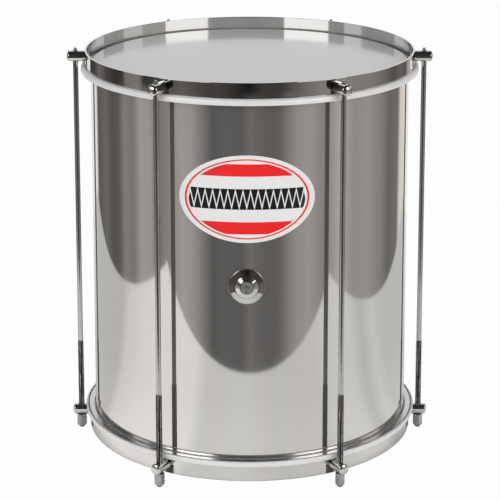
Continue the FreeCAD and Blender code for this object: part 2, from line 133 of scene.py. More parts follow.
def grid_faces(rows: int, columns: int, wrap_rows: bool, wrap_columns: bool) -> np.ndarray:
    """Four-sided faces between neighbouring points of a grid.

    Args:
        rows: Points along the first parameter.
        columns: Points along the second parameter.
        wrap_rows: Whether the last row joins the first.
        wrap_columns: Whether the last column joins the first.

    Returns:
        One row of four point numbers for each face.
    """
    i = np.arange(rows if wrap_rows else rows - 1)[:, None]
    j = np.arange(columns if wrap_columns else columns - 1)[None, :]
    down, across = (i + 1) % rows, (j + 1) % columns
    corners = (i * columns + j, down * columns + j, down * columns + across, i * columns + across)
    return np.stack([np.broadcast_to(c, (i.size, j.size)) for c in corners], -1).reshape(-1, 4)


def mesh_object(name: str, points: list, faces: list,
                material: bpy.types.Material) -> bpy.types.Object:
    """A new mesh object of one material, put in the scene at the origin."""
    mesh = bpy.data.meshes.new(name)
    mesh.from_pydata(points, [], faces)
    mesh.materials.append(material)
    return in_scene(name, mesh)


def in_scene(name: str, data: bpy.types.ID) -> bpy.types.Object:
    """Puts a mesh, a lamp or a camera in the scene."""
    thing = bpy.data.objects.new(name, data)
    bpy.context.scene.collection.objects.link(thing)
    return thing


@dataclass
class Surface:
    """Points and faces on their way to becoming a mesh."""

    points: np.ndarray
    faces: list = field(default_factory=list)

    @classmethod
    def turned(cls, outline: np.ndarray, segments: int = 256, poles: bool = False,
               angles: np.ndarray | None = None) -> "Surface":
        """Turns an outline about the Z axis.

        The point at outline (r, h) and angle t is (r cos t, r sin t, h).

        Args:
            outline: Rows of radius and height, a closed loop unless it has poles.
            segments: How many columns there are round the axis.
            poles: Whether the outline runs from axis to axis and its two ends become points.
            angles: The columns' angles, where they aren't evenly spaced.

        Returns:
            The closed surface, facing outwards.
        """
        outline = np.asarray(outline, float)
        if angles is None:
            angles = np.arange(segments) * FULL_TURN / segments
        count = angles.size
        body = outline[1:-1] if poles else outline
        ring = np.stack([np.cos(angles), np.sin(angles)], -1)
        flat = body[:, None, 0, None] * ring[None]
        high = np.broadcast_to(body[:, None, 1, None], (*flat.shape[:2], 1))
        points = np.concatenate([flat, high], -1).reshape(-1, 3)
        faces = grid_faces(len(body), count, not poles, True).tolist()
        if poles:
            ends = np.array([[0, 0, outline[0, 1]], [0, 0, outline[-1, 1]]])
            first, last = len(points), len(points) + 1
            points = np.concatenate([points, ends])
            here = np.arange(count)
            there = (here + 1) % count
            base = (len(body) - 1) * count
            faces += np.stack([here, there, np.full(count, first)], -1).tolist()
            faces += np.stack([base + there, base + here, np.full(count, last)], -1).tolist()
        return cls(points, faces).outwards()

    @classmethod
    def capped(cls, rings: np.ndarray) -> "Surface":
        """Joins rings of points and closes the first and the last with a face.

        Args:
            rings: The points, by ring and by place in the ring.

        Returns:
            The closed surface, facing outwards.
        """
        rows, columns = rings.shape[:2]
        faces = grid_faces(rows, columns, False, True).tolist()
        faces.append(list(range(columns)))
        faces.append(list(range((rows - 1) * columns, rows * columns))[::-1])
        return cls(rings.reshape(-1, 3), faces).outwards()

    def outwards(self) -> "Surface":
        """Turns every face over if the enclosed volume comes out negative."""
        corners = [(face[0], face[1], face[2]) for face in self.faces]
        corners += [(face[0], face[2], face[3]) for face in self.faces if len(face) > 3]
        a, b, c = self.points[np.array(corners)].transpose(1, 0, 2)
        if np.einsum("ij,ij->", a, np.cross(b, c)) < 0:
            self.faces = [face[::-1] for face in self.faces]
        return self

    def moved(self, turn: np.ndarray | None = None, shift: tuple = (0, 0, 0)) -> "Surface":
        """The same surface turned by a matrix and then shifted.

        Args:
            turn: A 3 by 3 rotation, or nothing.
            shift: How far the surface moves.

        Returns:
            The moved surface.
        """
        points = self.points if turn is None else self.points @ np.asarray(turn).T
        return Surface(points + np.asarray(shift), self.faces)

    def joined(self, other: "Surface") -> "Surface":
        """This surface and another one as one mesh."""
        offset = len(self.points)
        faces = self.faces + [[number + offset for number in face] for face in other.faces]
        return Surface(np.concatenate([self.points, other.points]), faces)

    def piece(self, name: str, material: bpy.types.Material, body: str, *nodes: str,
              crease: float = 32.0) -> bpy.types.Object:
        """Makes the object, dresses it and puts it in the frame.

        Args:
            name: The object's name.
            material: Its finish.
            body: The body that it rides on.
            *nodes: The solids that it stands for.
            crease: Edges that turn by more than this many degrees stay sharp.

        Returns:
            The new object.
        """
        thing = mesh_object(name, self.points.tolist(), self.faces, material)
        thing.data.shade_smooth()
        thing.data.set_sharp_from_angle(angle=math.radians(crease))
        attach(thing, body)
        if nodes:
            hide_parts(*nodes)
        LOG.info("%s: %d faces, rides on %s", name, len(self.faces), body)
        return thing


def turn_about_z(angle: float) -> np.ndarray:
    """The rotation about +Z by an angle in radians."""
    c, s = math.cos(angle), math.sin(angle)
    return np.array([[c, -s, 0], [s, c, 0], [0, 0, 1]])


# Measures


@dataclass(frozen=True)
class Sizes:
    """Levels and radii of the drum, read off the frame's solids."""

    bottom_edge: float
    top_edge: float
    hoop_height: float
    flare_outer: float
    shell_radius: float
    shell_low: float
    shell_high: float
    skirt_outer: float
    channel_outer: float
    channel_height: float
    channel_depth: float
    rod_circle: float

    @classmethod
    def from_frame(cls) -> "Sizes":
        """Reads the solids' boxes."""
        low_hoop, high_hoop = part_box("bottom_counterhoop"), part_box("top_counterhoop")
        shell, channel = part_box("shell"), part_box("bottom_flesh_hoop")
        head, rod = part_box("top_head"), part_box("tension_rod_1")
        return cls(
            bottom_edge=low_hoop[0][2],
            top_edge=high_hoop[1][2],
            hoop_height=low_hoop[1][2] - low_hoop[0][2],
            flare_outer=low_hoop[1][0],
            shell_radius=shell[1][0],
            shell_low=shell[0][2],
            shell_high=shell[1][2],
            skirt_outer=head[1][0],
            channel_outer=channel[1][0],
            channel_height=channel[1][2] - channel[0][2],
            channel_depth=channel[0][2] - low_hoop[0][2],
            rod_circle=(rod[0][0] + rod[1][0]) / 2,
        )

    def at_end(self, outline: np.ndarray, end: End) -> np.ndarray:
        """Carries an outline of radius and depth below a hoop's outer edge to its end."""
        if end is End.TOP:
            return outline * (1, -1) + (0, self.top_edge)
        return outline + (0, self.bottom_edge)


# Finishes


def opaque(colour: tuple, share: float = 1.0) -> tuple:
    """A colour taken down to a share of itself, with full alpha."""
    return (*(share * part for part in colour), 1.0)


class Nodes:
    """A short way to write a node tree."""

    def __init__(self, tree: bpy.types.NodeTree) -> None:
        """Keeps the tree that the nodes go into."""
        self.tree = tree

    def add(self, kind: str, inputs: dict | None = None, **settings: object) -> bpy.types.Node:
        """Adds a node, sets it up and links or fills its inputs.

        Args:
            kind: The node's type without its ShaderNode prefix.
            inputs: Values or output sockets, by input name or number.
            **settings: Properties of the node.

        Returns:
            The new node.
        """
        node = self.tree.nodes.new(f"ShaderNode{kind}")
        for name, setting in settings.items():
            setattr(node, name, setting)
        for name, given in (inputs or {}).items():
            self.fill(node.inputs[name], given)
        return node

    def fill(self, target: bpy.types.NodeSocket, given: object) -> None:
        """Links an input to a socket, or gives it a value."""
        if isinstance(given, bpy.types.NodeSocket):
            self.tree.links.new(given, target)
        else:
            target.default_value = given

    def link(self, source: bpy.types.NodeSocket, target: bpy.types.NodeSocket) -> None:
        """Links an output to an input."""
        self.tree.links.new(source, target)

    def finish(self, material: bpy.types.Material, shader: bpy.types.Node) -> bpy.types.Material:
        """Gives the material its surface."""
        self.link(shader.outputs[0], self.add("OutputMaterial").inputs[0])
        return material

    def place(self) -> bpy.types.NodeSocket:
        """Where the surface is, in the object's own metres."""
        return self.add("TexCoord").outputs["Object"]

    def math(self, operation: str, *values: object) -> bpy.types.NodeSocket:
        """A Math node's output for up to three values or sockets."""
        return self.add("Math", dict(enumerate(values)), operation=operation).outputs[0]

    def reach(self, x: bpy.types.NodeSocket, y: bpy.types.NodeSocket) -> bpy.types.NodeSocket:
        """The distance from the origin, the root of x x + y y."""
        return self.math("SQRT", self.math("MULTIPLY_ADD", x, x, self.math("MULTIPLY", y, y)))

    def bump(self, height: bpy.types.NodeSocket, shader: bpy.types.Node) -> None:
        """Gives a shader a relief of a height in metres."""
        relief = self.add("Bump", {"Height": height, "Distance": 1.0, "Strength": 1.0})
        self.link(relief.outputs[0], shader.inputs["Normal"])

    def between(self, value: object, low: float, high: float) -> bpy.types.NodeSocket:
        """1 where a value lies between two limits and 0 elsewhere."""
        above = self.math("GREATER_THAN", value, low)
        below = self.math("LESS_THAN", value, high)
        return self.math("MULTIPLY", above, below)

    def mix(self, factor: object, first: object, second: object,
            blend: str = "MIX") -> bpy.types.NodeSocket:
        """Two colours blended."""
        node = self.add("Mix", data_type="RGBA", blend_type=blend)
        for number, given in ((0, factor), (6, first), (7, second)):
            self.fill(node.inputs[number], given)
        return node.outputs[2]

    def bands(self, place: bpy.types.NodeSocket, stops: tuple,
              warmth: tuple) -> bpy.types.NodeSocket:
        """Greys that change with the direction from the drum's axis.

        Args:
            place: Where the surface is.
            stops: Pairs of an angle from the front, in degrees, and a grey.
            warmth: The colour of the greys.

        Returns:
            The colour.
        """
        split = self.add("SeparateXYZ", {0: place})
        ahead = self.math("MULTIPLY", split.outputs[1], -1.0)
        angle = self.math("ARCTAN2", split.outputs[0], ahead)
        ramp = self.add("ValToRGB", {0: self.span(angle, -math.pi, math.pi, 0.0, 1.0)})
        elements = ramp.color_ramp.elements
        while len(elements) < len(stops):
            elements.new(0.5)
        for element, (degrees, grey) in zip(elements, stops):
            element.position = (degrees + 180) / 360
            element.color = opaque(warmth, grey)
        return ramp.outputs[0]

    def span(self, value: object, low: float, high: float, to_low: float,
             to_high: float) -> bpy.types.NodeSocket:
        """A value carried from one span to another and held at its ends."""
        return self.add("MapRange", {0: value, 1: low, 2: high, 3: to_low, 4: to_high}).outputs[0]


def blank_material(name: str) -> tuple:
    """A new material with an empty node tree, and its Nodes helper."""
    material = bpy.data.materials.new(name)
    material.use_nodes = True
    material.node_tree.nodes.clear()
    return material, Nodes(material.node_tree)


def effect_group(name: str, inputs: dict, outputs: tuple) -> tuple:
    """An empty node group with named sockets.

    Args:
        name: The group's name.
        inputs: The default of each number that the group takes.
        outputs: The names of the numbers that it gives.

    Returns:
        The group, its Nodes helper, and its input and output nodes.
    """
    group = bpy.data.node_groups.new(name, "ShaderNodeTree")
    for label, default in inputs.items():
        socket = group.interface.new_socket(label, in_out="INPUT", socket_type="NodeSocketFloat")
        socket.default_value = default
    for label in outputs:
        group.interface.new_socket(label, in_out="OUTPUT", socket_type="NodeSocketFloat")
    given = group.nodes.new("NodeGroupInput")
    result = group.nodes.new("NodeGroupOutput")
    return group, Nodes(group), given, result


def make_brush_lines() -> bpy.types.NodeTree:
    """Fine level lines round a wall: noise that changes fast upwards and slowly sideways."""
    group, nodes, given, result = effect_group(
        "brush_lines", {"Fineness": 1500.0, "Run": 30.0}, ("Mask",))
    stretch = nodes.add("CombineXYZ", {0: given.outputs["Run"], 1: given.outputs["Run"],
                                       2: given.outputs["Fineness"]}).outputs[0]
    flat = nodes.add("VectorMath", {0: nodes.place(), 1: stretch}, operation="MULTIPLY").outputs[0]
    fine = nodes.add("TexNoise", {"Vector": flat, "Scale": 1.0, "Detail": 4.0})
    nodes.link(nodes.span(fine.outputs[0], 0.47, 0.63, 0.0, 1.0), result.inputs["Mask"])
    return group


def make_handling_marks() -> bpy.types.NodeTree:
    """Smudges and faint scratches: broad cloudy noise, and thin lines where a wave crosses zero."""
    group, nodes, given, result = effect_group(
        "handling_marks", {"Spread": 18.0, "Scratches": 90.0}, ("Smudge", "Scratch"))
    place = nodes.place()
    cloud = nodes.add("TexNoise", {"Vector": place, "Scale": given.outputs["Spread"],
                                   "Detail": 4.0})
    lines = nodes.add("TexNoise", {"Vector": place, "Scale": given.outputs["Scratches"],
                                   "Detail": 2.0, "Distortion": 1.5})
    off_middle = nodes.math("ABSOLUTE", nodes.math("SUBTRACT", lines.outputs[0], 0.5))
    nodes.link(nodes.span(cloud.outputs[0], 0.4, 0.7, 0.0, 1.0), result.inputs["Smudge"])
    nodes.link(nodes.span(off_middle, 0.0, 0.004, 1.0, 0.0), result.inputs["Scratch"])
    return group


BRUSHING = make_brush_lines()
MARKS = make_handling_marks()


@dataclass(frozen=True)
class Metal:
    """A bare or plated metal finish.

    Marks vary its roughness, brush lines add a duller grain, beyond a radius from the drum's axis
    it can turn to satin, and it can carry a painted shade: darker where other metal mirrors it.
    """

    name: str
    colour: tuple
    roughness: float
    rougher: float
    metallic: float = 1.0
    tint_share: float = 0.8
    tint_spread: float = 0.3
    scratch: float = 0.08
    brushed: float = 0.0
    brush_spread: float = 0.08
    wobble: float = 0.0
    wobble_scale: float = 14.0
    mottle: float = 0.0
    mottle_scale: float = 500.0
    satin_from: float = 0.0
    satin_fade: float = 0.0004
    satin_roughness: float = 0.36
    satin_metallic: float = 0.15
    # The next two fields paint a shade: in other metal's reflections the colour is kept at this
    # share and darkened towards a near-black grey.
    mirrored: float = 1.0
    reflected_shade_grey: float = 0.01

    def build(self) -> bpy.types.Material:
        """Makes the material."""
        material, nodes = blank_material(self.name)
        place = nodes.place()
        marks = nodes.add("Group", node_tree=MARKS)
        shader = nodes.add("BsdfPrincipled", {"Metallic": self.metallic})
        shine = nodes.span(marks.outputs["Smudge"], 0.0, 1.0, self.roughness, self.rougher)
        dull = nodes.math("MULTIPLY_ADD", marks.outputs["Scratch"], self.scratch, shine)
        tint, spread = marks.outputs["Smudge"], self.tint_spread
        heights = []
        if self.mottle:
            grain = nodes.add("TexVoronoi", {"Vector": place, "Scale": self.mottle_scale})
            heights.append(nodes.math("MULTIPLY", grain.outputs[0], self.mottle))
            tint = nodes.span(grain.outputs[0], 0.1, 0.9, 0.0, 1.0)
        if self.wobble:
            soft = nodes.add("TexNoise", {"Vector": place, "Scale": self.wobble_scale,
                                          "Detail": 1.0})
            heights.append(nodes.math("MULTIPLY", soft.outputs[0], self.wobble))
        if self.brushed:
            lines = nodes.add("Group", node_tree=BRUSHING)
            dull = nodes.math("MULTIPLY_ADD", lines.outputs["Mask"], self.brushed, dull)
            tint, spread = lines.outputs["Mask"], self.brush_spread
        if self.satin_from:
            split = nodes.add("SeparateXYZ", {0: place})
            satin = nodes.span(nodes.reach(split.outputs[0], split.outputs[1]), self.satin_from,
                               self.satin_from + self.satin_fade, 0.0, 1.0)
            dull = nodes.math("MULTIPLY_ADD", satin, self.satin_roughness, dull)
            nodes.link(nodes.span(satin, 0.0, 1.0, self.metallic, self.satin_metallic),
                       shader.inputs["Metallic"])
        nodes.link(dull, shader.inputs["Roughness"])
        colour = nodes.mix(nodes.math("MULTIPLY", tint, spread), opaque(self.colour),
                           opaque(self.colour, self.tint_share))
        # Painted shade: in other metal's reflections the colour is darkened towards a near-black
        # grey.
        if self.mirrored < 1:
            seen = nodes.math("MULTIPLY", nodes.add("LightPath").outputs["Is Glossy Ray"],
                              1.0 - self.mirrored)
            colour = nodes.mix(seen, colour, opaque(WHITE[:3], self.reflected_shade_grey))
        nodes.link(colour, shader.inputs["Base Color"])
        if heights:
            nodes.bump(heights[0] if len(heights) == 1 else nodes.math("ADD", *heights), shader)
        return nodes.finish(material, shader)


@dataclass(frozen=True)
class Film:
    """The glossy white film of a head, faintly clouded by use."""

    name: str
    colour: tuple = (0.72, 0.715, 0.705)
    roughness: float = 0.12
    rougher: float = 0.18
    cloud: float = 0.25
    cloud_share: float = 0.93
    grain_scale: float = 700.0
    grain_height: float = 0.00001

    def build(self) -> bpy.types.Material:
        """Makes the material."""
        material, nodes = blank_material(self.name)
        smudge = nodes.add("Group", node_tree=MARKS).outputs["Smudge"]
        colour = nodes.mix(nodes.math("MULTIPLY", smudge, self.cloud), opaque(self.colour),
                           opaque(self.colour, self.cloud_share))
        shine = nodes.span(smudge, 0.0, 1.0, self.roughness, self.rougher)
        shader = nodes.add("BsdfPrincipled", {"IOR": 1.5, "Base Color": colour,
                                              "Roughness": shine})
        grain = nodes.add("TexNoise", {"Vector": nodes.place(), "Scale": self.grain_scale,
                                       "Detail": 2.0})
        nodes.bump(nodes.math("MULTIPLY", grain.outputs[0], self.grain_height), shader)
        return nodes.finish(material, shader)


@dataclass(frozen=True)
class Enamel:
    """The badge's printed face: an oval field with a rim line, two bands and a lacing zigzag.

    The pattern reads the piece's own UV map, in half widths and half heights from the middle.
    """

    name: str = "badge_enamel"
    white: tuple = (0.80, 0.79, 0.775)
    red: tuple = (0.86, 0.012, 0.014)
    black: tuple = (0.012, 0.011, 0.012)
    rim_line: tuple = (0.885, 0.915)
    band: tuple = (0.52, 0.80)
    centre_band: float = 0.235
    rim_gap: float = 0.03
    zigzag_turns: float = 9.0
    zigzag_height: float = 0.76
    zigzag_drop: float = 0.19
    zigzag_line: float = 0.055
    roughness: tuple = (0.22, 0.34)
    paint_height: float = 0.00004

    def build(self) -> bpy.types.Material:
        """Makes the material."""
        material, nodes = blank_material(self.name)
        split = nodes.add("SeparateXYZ", {0: nodes.add("UVMap", uv_map="face").outputs[0]})
        across, up = split.outputs[0], split.outputs[1]
        reach, height = nodes.reach(across, up), nodes.math("ABSOLUTE", up)
        inside = nodes.math("LESS_THAN", reach, self.rim_line[0] - self.rim_gap)
        line = nodes.between(reach, *self.rim_line)
        band = nodes.math("MULTIPLY", nodes.between(height, *self.band), inside)
        middle = nodes.math("MULTIPLY", nodes.math("LESS_THAN", height, self.centre_band), inside)
        wave = nodes.math("PINGPONG", nodes.math("MULTIPLY", across, self.zigzag_turns), 0.5)
        lace = nodes.math("SUBTRACT", nodes.math("MULTIPLY", wave, self.zigzag_height),
                          nodes.math("ADD", up, self.zigzag_drop))
        zigzag = nodes.math("LESS_THAN", nodes.math("ABSOLUTE", lace), self.zigzag_line)
        white = opaque(self.white)
        colour = nodes.mix(nodes.math("MAXIMUM", line, band), white, opaque(self.red))
        colour = nodes.mix(middle, colour, opaque(self.black))
        colour = nodes.mix(nodes.math("MULTIPLY", middle, zigzag), colour, white)
        smudge = nodes.add("Group", node_tree=MARKS).outputs["Smudge"]
        shine = nodes.span(smudge, 0.0, 1.0, *self.roughness)
        shader = nodes.add("BsdfPrincipled", {"IOR": 1.5, "Base Color": colour,
                                              "Roughness": shine})
        paint = nodes.math("MAXIMUM", band, middle)
        nodes.bump(nodes.math("MULTIPLY", paint, self.paint_height), shader)
        return nodes.finish(material, shader)


class Finishes:
    """Every material of the drum, made once."""

    def __init__(self, sizes: Sizes) -> None:
        """Builds the materials."""
        self.shell = Metal("brushed_shell", (0.85, 0.835, 0.82), 0.045, 0.055, metallic=0.92,
                           brushed=0.012, wobble=0.0001, wobble_scale=5.0).build()
        self.hoop = Metal("hoop_plating", (0.82, 0.81, 0.80), 0.035, 0.07, wobble=0.0002,
                          wobble_scale=22.0, satin_from=sizes.flare_outer - 0.0031).build()
        # The ear, rod and nut finishes carry a painted shade in other metal's reflections.
        self.ear = Metal("ear_plating", (0.80, 0.79, 0.775), 0.05, 0.12,
                         mottle=0.00001, mottle_scale=600.0, mirrored=0.3).build()
        self.channel = Metal("channel_alloy", (0.72, 0.715, 0.72), 0.24, 0.34).build()
        self.rod = Metal("rod_plating", (0.66, 0.66, 0.655), 0.10, 0.2,
                         mottle=0.00002, mottle_scale=700.0, mirrored=0.15).build()
        self.nut = Metal("nut_zinc", (0.56, 0.555, 0.55), 0.24, 0.42,
                         mottle=0.00012, mottle_scale=620.0, mirrored=0.4).build()
        self.vent = Metal("vent_plating", (0.84, 0.83, 0.82), 0.04, 0.08).build()
        self.plug = Metal("plug_steel", (0.56, 0.56, 0.555), 0.3, 0.45,
                          mottle=0.00004, mottle_scale=500.0, metallic=0.9).build()
        self.film = Film("head_film").build()
        self.enamel = Enamel().build()


# The drum


@dataclass
class Shell:
    """The tube of the drum, with its ends rolled inwards."""

    sizes: Sizes
    wall: float = 0.001
    roll: float = 0.002
    lip: float = 0.002
    support: float = 0.0004
    segments: int = 512

    def outline(self) -> np.ndarray:
        """The wall's section: straight outside and inside, half round over each end."""
        outer = self.sizes.shell_radius
        low, high = self.sizes.shell_low, self.sizes.shell_high
        roll, wall = self.roll, self.wall
        middle = outer - roll
        turn = np.linspace(0, math.pi, 17)
        over = np.stack([middle + roll * np.cos(turn), high - roll + roll * np.sin(turn)], -1)
        under = np.stack([middle + (roll - wall) * np.cos(turn[::-1]),
                          high - roll + (roll - wall) * np.sin(turn[::-1])], -1)
        lip = np.array([[middle - roll, high - roll - self.lip],
                        [middle - roll + wall, high - roll - self.lip]])
        flat = high - roll - self.support
        top = np.concatenate([[(outer, flat)], over, lip, under, [(outer - wall, flat)]])
        bottom = top[::-1] * (1, -1) + (0, low + high)
        return np.concatenate([top, bottom])

    def build(self, finishes: Finishes) -> None:
        """Makes the shell."""
        tube = Surface.turned(self.outline(), self.segments)
        tube.piece("shell_tube", finishes.shell, Body.DRUM.value, "shell")


@dataclass
class Counterhoop:
    """A collar with a shoulder and a stepped-out flare, closed by a weld at the back."""

    sizes: Sizes
    end: End
    wall: float = 0.0015
    step: float = 0.0033
    flare_start: float = 0.0118
    edge_round: float = 0.0005
    shoulder_round: float = 0.0029
    lip_round: float = 0.0012
    sharp: float = 0.0002
    weld_turn: float = 90.4
    weld_width: float = 0.55
    weld_height: float = 0.00022
    weld_reach: float = 1.5
    segments: int = 480

    def outline(self) -> np.ndarray:
        """The section, as radius and depth below the hoop's outer edge."""
        outer = self.sizes.flare_outer
        collar, wall, start = outer - self.step, self.wall, self.flare_start
        corners = np.array([
            (collar - wall, 0), (collar, 0), (collar, start), (outer, start),
            (outer, self.sizes.hoop_height), (outer - wall, self.sizes.hoop_height),
            (outer - wall, start + wall), (collar - wall, start + wall)])
        edge, sharp = self.edge_round, self.sharp
        radii = (edge, edge, sharp, self.shoulder_round, self.lip_round, sharp, sharp, edge)
        return ease(corners, radii, 9)

    def angles(self) -> np.ndarray:
        """Evenly spaced columns, with finer ones across the weld."""
        even = np.arange(self.segments) * 360.0 / self.segments
        fine = self.weld_turn + np.linspace(-self.weld_reach, self.weld_reach, 25)
        away = np.abs(even - self.weld_turn) > self.weld_reach + 0.1
        return np.radians(np.sort(np.concatenate([even[away], fine])))

    def build(self, finishes: Finishes) -> None:
        """Makes the hoop; its weld swells the wall by a bell curve of the angle."""
        ring = self.sizes.at_end(self.outline(), self.end)
        hoop = Surface.turned(ring, angles=self.angles())
        off = np.degrees(np.arctan2(hoop.points[:, 1], hoop.points[:, 0])) - self.weld_turn
        swell = self.weld_height * np.exp(-(off / self.weld_width) ** 2)
        radius = np.hypot(hoop.points[:, 0], hoop.points[:, 1])
        inner = radius < self.sizes.flare_outer - self.step - self.wall / 2
        scale = 1 + np.where(inner, -1.0, 1.0) * swell / radius
        hoop.points[:, :2] *= scale[:, None]
        name = f"{self.end.value}_counterhoop"
        hoop.piece(f"{name}_ring", finishes.hoop, self.end.body.value, name)


@dataclass
class FleshHoop:
    """The channel ring under a flare that grips the film."""

    sizes: Sizes
    end: End
    wall: float = 0.0014
    floor: float = 0.0012
    clearance: float = 0.00035
    rim_round: float = 0.0003
    slot_round: float = 0.0002
    outside_round: float = 0.0006
    segments: int = 360

    def build(self, finishes: Finishes) -> None:
        """Makes the ring from its U-shaped section."""
        inner, outer = self.sizes.skirt_outer + self.clearance, self.sizes.channel_outer
        top, height = self.sizes.channel_depth, self.sizes.channel_height
        bottom, slot = top + height, top + height - self.floor
        corners = np.array([
            (inner, top), (inner + self.wall, top), (inner + self.wall, slot),
            (outer - self.wall, slot), (outer - self.wall, top), (outer, top),
            (outer, bottom), (inner, bottom)])
        rim, slot_round, outside = self.rim_round, self.slot_round, self.outside_round
        radii = (rim, rim, slot_round, slot_round, rim, rim, outside, outside)
        ring = Surface.turned(self.sizes.at_end(ease(corners, radii, 5), self.end), self.segments)
        name = f"{self.end.value}_flesh_hoop"
        ring.piece(f"{name}_ring", finishes.channel, self.end.body.value, name)


@dataclass
class Head:
    """A film over the bearing edge, bent down into a skirt."""

    sizes: Sizes
    end: End
    film: float = 0.0003
    bend: float = 0.0023
    support: float = 0.0006
    rings: int = 14

    def build(self, finishes: Finishes) -> None:
        """Makes the film: a flat disc whose rim turns down in a quarter circle."""
        name = f"{self.end.value}_head"
        low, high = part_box(name)
        outer, depth = self.sizes.skirt_outer, high[2] - low[2]
        flat = outer - self.bend
        disc = np.append(np.linspace(0, flat - self.support, self.rings), flat)
        turn = np.linspace(RIGHT_ANGLE, 0, 9)[1:]

        def bent(radius: float, angles: np.ndarray) -> np.ndarray:
            """The quarter circle of a radius round the bend's middle."""
            return np.stack([flat + radius * np.cos(angles),
                             self.bend - radius * np.sin(angles)], -1)

        outside = np.concatenate([
            np.stack([disc, np.zeros_like(disc)], -1), bent(self.bend, turn),
            [(outer, depth), (outer - self.film, depth)], bent(self.bend - self.film, turn[::-1]),
            np.stack([disc[::-1], np.full_like(disc, self.film)], -1)])
        flip, level = (-1, high[2]) if self.end is End.TOP else (1, low[2])
        film = Surface.turned(outside * (1, flip) + (0, level), poles=True)
        film.piece(f"{name}_film", finishes.film, Body.DRUM.value, name)


@dataclass
class TensionRod:
    """A rod: a plain shank with a turned-down point above its ear, and a thread at the foot."""

    sizes: Sizes
    number: int
    shank: float = 0.0021
    crest: float = 0.0025
    root: float = 0.00205
    pitch: float = 0.0008
    thread_end: float = 0.076
    rows_each_turn: int = 6
    wave_gain: float = 1.25
    wave_cut: float = 0.1
    overlap: float = 0.0002
    tip_radius: float = 0.0019
    point_radius: float = 0.0011
    point_height: float = 0.0021
    neck_height: float = 0.0007
    columns: int = 24

    @property
    def turn(self) -> float:
        """The rod's angle round the drum, in radians."""
        return (self.number - 1) * FULL_TURN / RODS

    @property
    def foot(self) -> tuple:
        """Where the rod's axis meets the floor."""
        return (self.sizes.rod_circle * math.cos(self.turn),
                self.sizes.rod_circle * math.sin(self.turn), 0.0)

    def thread(self) -> Surface:
        """The thread, whose end is cut at 45 degrees.

        At height h and angle t the radius is a triangle wave of h / pitch - t / 2pi.
        """
        rows = int(self.thread_end / self.pitch * self.rows_each_turn)
        height = np.linspace(0, self.thread_end, rows)[:, None]
        angle = (np.arange(self.columns) * FULL_TURN / self.columns)[None, :]
        phase = height / self.pitch - angle / FULL_TURN
        wave = np.abs((phase % 1.0) * 2 - 1)
        wave = np.clip(wave * self.wave_gain - self.wave_cut, 0, 1)
        fade = np.clip((self.thread_end - height) / (2 * self.pitch), 0, 1)
        radius = self.root + (self.crest - self.root) * wave * fade
        radius = np.minimum(radius, self.tip_radius + height)
        return Surface.capped(np.stack([radius * np.cos(angle), radius * np.sin(angle),
                                        np.broadcast_to(height, radius.shape)], -1))

    def upper(self) -> Surface:
        """The shank and its point, turned from an eased outline."""
        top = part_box(f"tension_rod_{self.number}")[1][2]
        start, neck = self.thread_end - self.overlap, top - self.point_height
        corners = np.array([
            (0, start), (self.shank, start), (self.shank, neck),
            (self.point_radius, neck + self.neck_height), (self.point_radius, top), (0, top)])
        outline = ease(corners, (0, 0.0001, 0.0004, 0.0005, 0.0005, 0), 6, closed=False)
        return Surface.turned(outline, 32, poles=True)

    def build(self, finishes: Finishes) -> None:
        """Makes the rod."""
        rod = self.thread().joined(self.upper()).moved(shift=self.foot)
        rod.piece(f"rod_{self.number}", finishes.rod, Body.TOP.value, f"tension_rod_{self.number}")


@dataclass
class TuningNut:
    """A long hexagon nut with rounded corners and cut ends."""

    sizes: Sizes
    number: int
    flats: float = 0.007
    bore: float = 0.0026
    chamfer: float = 0.0005
    corner_ease: float = 0.14
    end_share: float = 0.98
    turns: tuple = (11.0, 34.0, 3.0, 47.0, 22.0, 55.0)
    columns: int = 96

    def build(self, finishes: Finishes) -> None:
        """Makes the nut.

        At angle t the side's distance is a / cos(d), where a is half the width across flats and
        d the angle to the nearest flat's middle, pulled in a little near the corners.
        """
        low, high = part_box(f"tuning_nut_{self.number}")
        centre = (np.array(low) + np.array(high)) / 2
        angle = np.arange(self.columns) * FULL_TURN / self.columns
        half = FULL_TURN / 12
        off = (angle + half) % (2 * half) - half
        apothem = self.flats / 2
        side = apothem / np.cos(off)
        side -= (side - apothem) * self.corner_ease * (np.abs(off) / half) ** 6
        cut, bore = self.chamfer, np.full_like(angle, self.bore)
        end = np.minimum(side, apothem * self.end_share)
        heights = np.array([low[2], low[2], low[2] + cut, high[2] - cut, high[2], high[2]])
        reach = np.stack([bore, end, side, side, end, bore])
        levels = np.broadcast_to(heights[:, None], reach.shape)
        points = np.stack([reach * np.cos(angle), reach * np.sin(angle), levels], -1)
        nut = Surface(points.reshape(-1, 3), grid_faces(6, self.columns, True, True).tolist())
        spin = turn_about_z(math.radians(self.turns[self.number - 1]))
        nut = nut.outwards().moved(spin, (centre[0], centre[1], 0.0))
        nut.piece(f"nut_{self.number}", finishes.nut, f"nut_{self.number}",
                  f"tuning_nut_{self.number}", crease=22.0)


